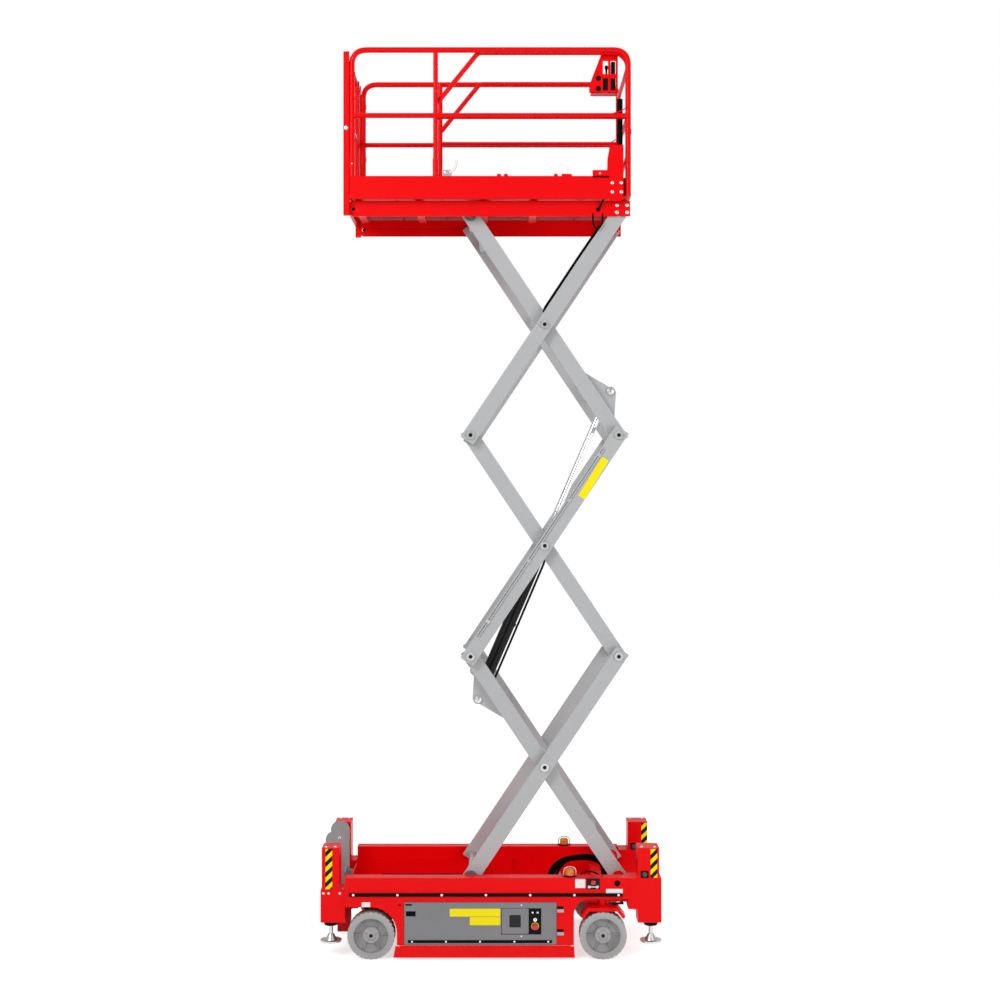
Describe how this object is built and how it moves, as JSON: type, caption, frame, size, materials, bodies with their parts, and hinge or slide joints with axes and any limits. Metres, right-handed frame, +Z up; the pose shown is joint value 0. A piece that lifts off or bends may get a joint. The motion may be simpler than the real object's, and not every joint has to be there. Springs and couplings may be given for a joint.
{
  "type": "electric slab scissor lift",
  "caption": "Self-propelled scissor lift with a railed work platform, roll-out deck, steered wheels and levelling jacks, shown raised.",
  "frame": {"origin": "on the ground under the middle of the machine", "axes": "+X towards the steered wheels, +Y to the far side, +Z up"},
  "size_m": [2.6159, 1.225, 6.9646],
  "materials": {
    "red_paint": "glossy powder coat",
    "grey_paint": "satin paint",
    "door_grey": "textured powder coat",
    "black_steel": "satin black paint",
    "zinc": "zinc plated",
    "rod_steel": "hard chrome",
    "tyre_grey": "non-marking grey rubber",
    "rim_grey": "cast, painted",
    "black_rubber": "matt",
    "black_plastic": "moulded",
    "nylon": "cast nylon",
    "amber": "translucent lens",
    "battery": "plain block"
  },
  "bodies": {
    "chassis": {"side_rails": "red_paint", "chassis_floor": "red_paint", "rear_axle": "black_steel", "battery_block": "battery", "side_strips": "black_rubber", "beacon_lenses": "amber", "beacon_guards": "zinc", "jack_towers": "red_paint", "jack_boots": "black_rubber", "entry_ladder": "grey_paint", "base_pins": "zinc"},
    "door_near": {"door_near": "door_grey", "ground_control": "black_plastic"},
    "door_far": {"door_far": "door_grey"},
    "guard_near": {"guard_near": "red_paint"},
    "guard_far": {"guard_far": "red_paint"},
    "inner_1": {"inner_arms_1": "grey_paint", "cylinder_base_pin": "zinc"},
    "outer_1": {"outer_arms_1": "grey_paint", "scissor_pins_1": "zinc", "base_rollers": "nylon"},
    "inner_2": {"inner_arms_2": "grey_paint"},
    "outer_2": {"outer_arms_2": "grey_paint", "scissor_pins_2": "zinc"},
    "inner_3": {"inner_arms_3": "grey_paint", "cylinder_head_pins": "zinc", "top_axle": "zinc", "platform_rollers": "nylon"},
    "outer_3": {"outer_arms_3": "grey_paint", "scissor_pins_3": "zinc"},
    "barrel": {"cylinder_barrel": "black_steel"},
    "rod": {"cylinder_rod": "rod_steel"},
    "platform": {"platform_frame": "red_paint", "platform_pins": "zinc", "platform_deck": "red_paint", "toe_boards": "red_paint", "main_rails": "red_paint"},
    "gate": {"entry_gate": "red_paint"},
    "extension": {"extension_deck": "red_paint", "extension_rails": "red_paint", "control_bracket": "red_paint", "control_box": "black_plastic", "cable_duct": "black_rubber"},
    "knuckle_near": {"knuckle_near": "red_paint"},
    "knuckle_far": {"knuckle_far": "red_paint"},
    "tie_rod": {"tie_rod": "red_paint"},
    "jack_rear_near": {"jack_leg_rear_near": "zinc"},
    "wheel_rear_near": {"tyre_rear_near": "tyre_grey", "rim_rear_near": "rim_grey"},
    "jack_rear_far": {"jack_leg_rear_far": "zinc"},
    "wheel_rear_far": {"tyre_rear_far": "tyre_grey", "rim_rear_far": "rim_grey"},
    "jack_front_near": {"jack_leg_front_near": "zinc"},
    "wheel_front_near": {"tyre_front_near": "tyre_grey", "rim_front_near": "rim_grey"},
    "jack_front_far": {"jack_leg_front_far": "zinc"},
    "wheel_front_far": {"tyre_front_far": "tyre_grey", "rim_front_far": "rim_grey"}
  },
  "joints": [
    {"name": "lift", "type": "hinge", "parent": "chassis", "child": "inner_1", "pos_m": [0.984, 0, 0.588], "axis": [0, -1, 0], "range_deg": [0, 51.6]},
    {"name": "fold_1", "type": "hinge", "parent": "inner_1", "child": "outer_1", "pos_m": [0.4138, 0, 1.43976], "axis": [0, -1, 0], "range_deg": [-103.22, 0]},
    {"name": "fold_2", "type": "hinge", "parent": "outer_1", "child": "inner_2", "pos_m": [0.984, 0, 2.29152], "axis": [0, -1, 0], "range_deg": [0, 103.22]},
    {"name": "fold_3", "type": "hinge", "parent": "inner_2", "child": "outer_2", "pos_m": [0.4138, 0, 3.14328], "axis": [0, -1, 0], "range_deg": [-103.22, 0]},
    {"name": "fold_4", "type": "hinge", "parent": "outer_2", "child": "inner_3", "pos_m": [0.984, 0, 3.99504], "axis": [0, -1, 0], "range_deg": [0, 103.22]},
    {"name": "fold_5", "type": "hinge", "parent": "inner_3", "child": "outer_3", "pos_m": [0.4138, 0, 4.8468], "axis": [0, -1, 0], "range_deg": [-103.22, 0]},
    {"name": "level", "type": "hinge", "parent": "outer_3", "child": "platform", "pos_m": [0.984, 0, 5.69855], "axis": [0, -1, 0], "range_deg": [0, 51.62]},
    {"name": "barrel_pivot", "type": "hinge", "parent": "inner_1", "child": "barrel", "pos_m": [-0.1, 0, 1.9466], "axis": [0, -1, 0], "range_deg": [-98.99, 0]},
    {"name": "rod_slide", "type": "slide", "parent": "barrel", "child": "rod", "axis": [0.3945, 0, 0.9189], "range_m": [-1.0867, 0]},
    {"name": "gate_hinge", "type": "hinge", "parent": "platform", "child": "gate", "pos_m": [-1.1055, -0.314, 5.99855], "axis": [0, 0, -1], "range_deg": [0, 90]},
    {"name": "extension_slide", "type": "slide", "parent": "platform", "child": "extension", "axis": [1, 0, 0], "range_m": [0, 0.9]},
    {"name": "door_near_hinge", "type": "hinge", "parent": "chassis", "child": "door_near", "pos_m": [0.5005, -0.6043, 0.277], "axis": [0, 0, 1], "range_deg": [0, 110]},
    {"name": "guard_near_fold", "type": "hinge", "parent": "chassis", "child": "guard_near", "pos_m": [0, -0.594, 0.103], "axis": [1, 0, 0], "range_deg": [0, 90]},
    {"name": "door_far_hinge", "type": "hinge", "parent": "chassis", "child": "door_far", "pos_m": [0.5005, 0.6043, 0.277], "axis": [0, 0, -1], "range_deg": [0, 110]},
    {"name": "guard_far_fold", "type": "hinge", "parent": "chassis", "child": "guard_far", "pos_m": [0, 0.594, 0.103], "axis": [-1, 0, 0], "range_deg": [0, 90]},
    {"name": "steer_near", "type": "hinge", "parent": "chassis", "child": "knuckle_near", "pos_m": [0.855, -0.5, 0.4], "axis": [0, 0, 1], "range_deg": [-65, 65]},
    {"name": "steer_far", "type": "hinge", "parent": "chassis", "child": "knuckle_far", "pos_m": [0.855, 0.5, 0.4], "axis": [0, 0, 1], "range_deg": [-65.01, 65.01]},
    {"name": "tie_rod_pivot", "type": "hinge", "parent": "knuckle_near", "child": "tie_rod", "pos_m": [0.945, -0.5, 0.405], "axis": [0, 0, 1], "range_deg": [-65.01, 65.01]},
    {"name": "wheel_rear_near_spin", "type": "hinge", "parent": "chassis", "child": "wheel_rear_near", "pos_m": [-0.912, -0.5295, 0.18], "axis": [0, 1, 0], "continuous": true},
    {"name": "jack_rear_near_slide", "type": "slide", "parent": "chassis", "child": "jack_rear_near", "axis": [0, 0, -1], "range_m": [0, 0.25]},
    {"name": "wheel_rear_far_spin", "type": "hinge", "parent": "chassis", "child": "wheel_rear_far", "pos_m": [-0.912, 0.5295, 0.18], "axis": [0, 1, 0], "continuous": true},
    {"name": "jack_rear_far_slide", "type": "slide", "parent": "chassis", "child": "jack_rear_far", "axis": [0, 0, -1], "range_m": [0, 0.25]},
    {"name": "wheel_front_near_spin", "type": "hinge", "parent": "knuckle_near", "child": "wheel_front_near", "pos_m": [0.855, -0.5295, 0.18], "axis": [0, 1, 0], "continuous": true},
    {"name": "jack_front_near_slide", "type": "slide", "parent": "chassis", "child": "jack_front_near", "axis": [0, 0, -1], "range_m": [0, 0.25]},
    {"name": "wheel_front_far_spin", "type": "hinge", "parent": "knuckle_far", "child": "wheel_front_far", "pos_m": [0.855, 0.5295, 0.18], "axis": [0, 1, 0], "continuous": true},
    {"name": "jack_front_far_slide", "type": "slide", "parent": "chassis", "child": "jack_front_far", "axis": [0, 0, -1], "range_m": [0, 0.25]}
  ],
  "couplings": [
    {"joint": "fold_1", "follows": "lift", "ratio": -2},
    {"joint": "fold_2", "follows": "lift", "ratio": 2},
    {"joint": "fold_3", "follows": "lift", "ratio": -2},
    {"joint": "fold_4", "follows": "lift", "ratio": 2},
    {"joint": "fold_5", "follows": "lift", "ratio": -2},
    {"joint": "level", "follows": "lift", "ratio": 1},
    {"joint": "barrel_pivot", "follows": "lift", "ratio": -1.9179},
    {"joint": "rod_slide", "follows": "lift", "m_per_rad": -1.2055},
    {"joint": "steer_far", "follows": "steer_near", "ratio": 1},
    {"joint": "tie_rod_pivot", "follows": "steer_near", "ratio": -1}
  ]
}
